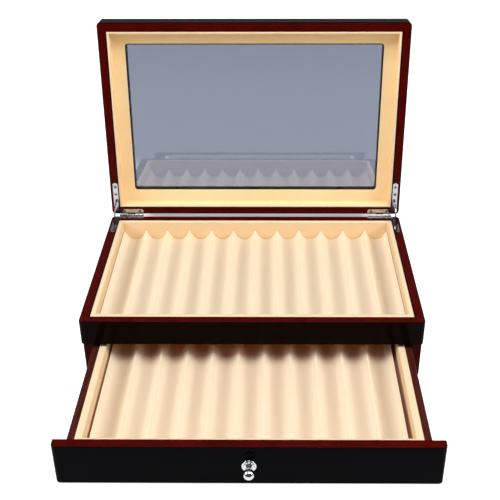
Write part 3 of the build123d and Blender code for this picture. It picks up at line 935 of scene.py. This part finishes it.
hinge_chrome = plated("hinge_chrome", srgb(192, 192, 198), 0.07, 0.16)
knob_chrome = plated("knob_chrome", srgb(212, 213, 217), 0.03, 0.08)
screw_steel = plated("screw_steel", srgb(140, 138, 138), 0.22, 0.36)
metal_pieces = {"knob": knob_chrome, "knob_rosette": knob_chrome, "knob_screw": screw_steel}
for name in nodes:
    if "hinge" in name or "stay" in name:
        metal_pieces[name] = screw_steel if "screw" in name else hinge_chrome
for name, metal in metal_pieces.items():
    dress(name, metal)
print("metal pieces:", len(metal_pieces))

# %% [markdown]
# ## The stage
# The chest stands on a wide pale floor in a white room. The floor adds light of its own for the eye
# alone, so it reads as white yet still shows the chest's shadow. The room and the floor on the camera's
# side look dimmer in mirrors than the backdrop does, which gives the glass and the metal something dark to
# reflect.

# %% The floor
floor_reach = 12.0
floor_drop = 0.1 * mm  # below the felt, so that the two don't share a plane
dim_edge, pale_edge = -0.42, -0.28  # along y: mirrors see a dim floor in front of the first one
dim_floor, pale_floor = (0.22, 0.22, 0.24, 1), (0.8, 0.8, 0.8, 1)
put_down()
bpy.ops.mesh.primitive_plane_add(size=2 * floor_reach, location=(0, 0, -floor_drop))
floor = bpy.context.object
floor.name = "floor"
floor_paint = bpy.data.materials.new("floor_paint")
tree = empty_tree(floor_paint)
floor_space = object_space(tree)
behind = node(tree, "ShaderNodeSeparateXYZ", Vector=floor_space).outputs["Y"]
nearer = ramp(tree, behind, dim_edge, pale_edge)
rays = tree.nodes.new("ShaderNodeLightPath").outputs
pale = maths(tree, "MAXIMUM", nearer, maths(tree, "SUBTRACT", 1, rays["Is Glossy Ray"]))
paint = node(tree, "ShaderNodeBsdfDiffuse", Color=blend_colours(tree, pale, dim_floor, pale_floor))
print("floor:", 2 * floor_reach, "m across")

# %% [markdown]
# The floor's glow is added to its paint. It is a little weaker close to the chest, where the lamps already
# light the floor, and it is left out on a rectangle right behind the chest, which paints a shadow there.
# The eye sees all of it, also through glass, and mirrors see half.

# %% The floor's glow
glow_from, glow_to = 0.25, 1.0  # from the chest's middle, where the glow is least and where it is full
least_glow = 0.85
mirrored_glow = 0.5
away = node(tree, "ShaderNodeVectorMath", operation="LENGTH", Vector=floor_space).outputs["Value"]
painted_shadow_behind = place_group(
    tree, band, Vector=floor_space, Centre_Y=0.23, Half_X=0.155, Half_Y=0.04, From=-1, To=0, Softness=0.02
)
left_out = maths(tree, "SUBTRACT", 1, painted_shadow_behind["Mask"])
evened = ramp(tree, away, glow_from, glow_to, least_glow, 1)
glow_strength = maths(tree, "MULTIPLY", evened, left_out)
glow = node(tree, "ShaderNodeEmission", Color=(1, 1, 1, 1), Strength=glow_strength)
both = node(tree, "ShaderNodeAddShader")
tree.links.new(paint.outputs[0], both.inputs[0])
tree.links.new(glow.outputs[0], both.inputs[1])
looked_at = maths(tree, "MAXIMUM", rays["Is Camera Ray"], rays["Is Transmission Ray"])
mirrored = maths(tree, "MULTIPLY", rays["Is Glossy Ray"], maths(tree, "MULTIPLY", nearer, mirrored_glow))
looked_at = maths(tree, "MAXIMUM", looked_at, mirrored)
shown = node(tree, "ShaderNodeMixShader")
tree.links.new(looked_at, shown.inputs[0])
tree.links.new(paint.outputs[0], shown.inputs[1])
tree.links.new(both.outputs[0], shown.inputs[2])
node(tree, "ShaderNodeOutputMaterial", Surface=shown.outputs[0])
floor.data.materials.append(floor_paint)
print("staged:", floor.name)

# %% [markdown]
# The room is white to the eye. To the chest it is dark apart from a faint ceiling, and mirrors see a faint
# backdrop behind the chest as well.

# %% The room's light
backdrop_span, backdrop_light = (-0.2, 0.4), 0.16  # along y, and how bright mirrors see it
ceiling_span, ceiling_light = (0.1, 0.9), 0.2  # along z, and how bright it lights the chest
room = bpy.data.worlds.new("room")
bpy.context.scene.world = room
tree = empty_tree(room)
rays = tree.nodes.new("ShaderNodeLightPath").outputs
looked_at = maths(tree, "MAXIMUM", rays["Is Camera Ray"], rays["Is Transmission Ray"])
outwards = tree.nodes.new("ShaderNodeTexCoord").outputs["Generated"]
heading = node(tree, "ShaderNodeSeparateXYZ", Vector=outwards).outputs
backdrop = ramp(tree, heading["Y"], *backdrop_span, 0, backdrop_light)
looked_at = maths(tree, "MAXIMUM", looked_at, maths(tree, "MULTIPLY", rays["Is Glossy Ray"], backdrop))
ceiling = ramp(tree, heading["Z"], *ceiling_span, 0, ceiling_light)
unseen = maths(tree, "SUBTRACT", 1.0, looked_at)
strength = maths(tree, "ADD", looked_at, maths(tree, "MULTIPLY", unseen, ceiling))
air = node(tree, "ShaderNodeBackground", Color=(1, 1, 1, 1), Strength=strength)
node(tree, "ShaderNodeOutputWorld", Surface=air.outputs[0])
print("world:", room.name)

# %% [markdown]
# Large lamps make soft shadows. One hangs over the chest, a little in front, and one stands at each side.


# %% The lamps
def soft_lamp(name, place, target, size, power):
    """A square area lamp that points at a target, with its size in metres and its power in watts."""
    put_down()
    bpy.ops.object.light_add(type="AREA", location=place)
    lamp = bpy.context.object
    lamp.name = name
    lamp.data.size = size
    lamp.data.energy = power
    lamp.rotation_euler = (Vector(target) - Vector(place)).to_track_quat("-Z", "Y").to_euler()


tray_middle = (0, 0, 0.07)
soft_lamp("overhead_softbox", (0.0, -0.66, 1.63), tray_middle, size=0.8, power=12)
for side, name in ((-1, "left_softbox"), (1, "right_softbox")):
    soft_lamp(name, (side * 1.34, -0.42, 1.0), tray_middle, size=0.9, power=16)
bpy.context.scene.view_settings.view_transform = "Standard"
